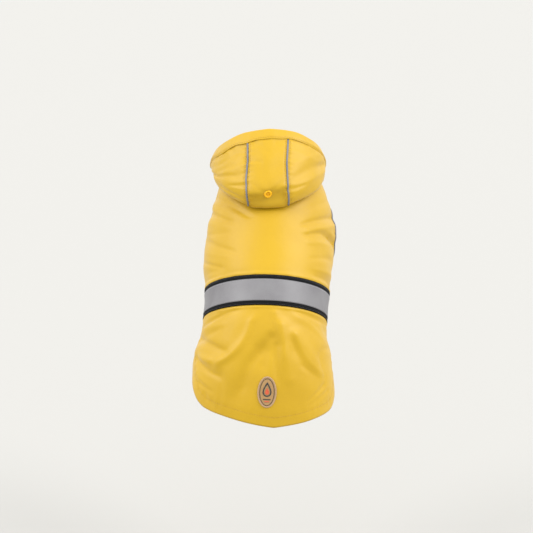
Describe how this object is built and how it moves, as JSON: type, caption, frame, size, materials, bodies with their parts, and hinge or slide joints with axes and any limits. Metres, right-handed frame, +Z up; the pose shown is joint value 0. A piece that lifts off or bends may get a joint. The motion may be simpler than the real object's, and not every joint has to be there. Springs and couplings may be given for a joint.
{
  "type": "dog raincoat",
  "caption": "Hollow pull-on raincoat for a small dog, with a turned-down panelled hood, round armholes, a reflective belt over the back and a dipped rear hem.",
  "frame": {"origin": "middle of the neck ring, where the wearer's neck and shoulders hold the coat up", "axes": "+Z up, +Y the way the dog faces, +X the dog's right side, with the dog sitting"},
  "size_m": [0.1892, 0.2658, 0.3633],
  "materials": {
    "coated_cloth": "soft coated weave, slight sheen",
    "reflective_piping": "fine grey retroreflective cloth",
    "black_webbing": "ribbed, matte",
    "reflective_tape": "smooth silver retroreflective film",
    "yellow_plastic": "satin",
    "tan_patch": "matte"
  },
  "bodies": {
    "root": {"back_panel": "coated_cloth", "chest_panel": "coated_cloth", "hood_middle_panel": "coated_cloth", "hood_left_panel": "coated_cloth", "hood_right_panel": "coated_cloth", "hood_brim_band": "coated_cloth", "hood_piping_left": "reflective_piping", "hood_piping_right": "reflective_piping", "armhole_piping_left": "reflective_piping", "armhole_piping_right": "reflective_piping", "belt_webbing": "black_webbing", "belt_tape": "reflective_tape", "hood_snap": "yellow_plastic", "patch": "tan_patch"}
  },
  "joints": []
}
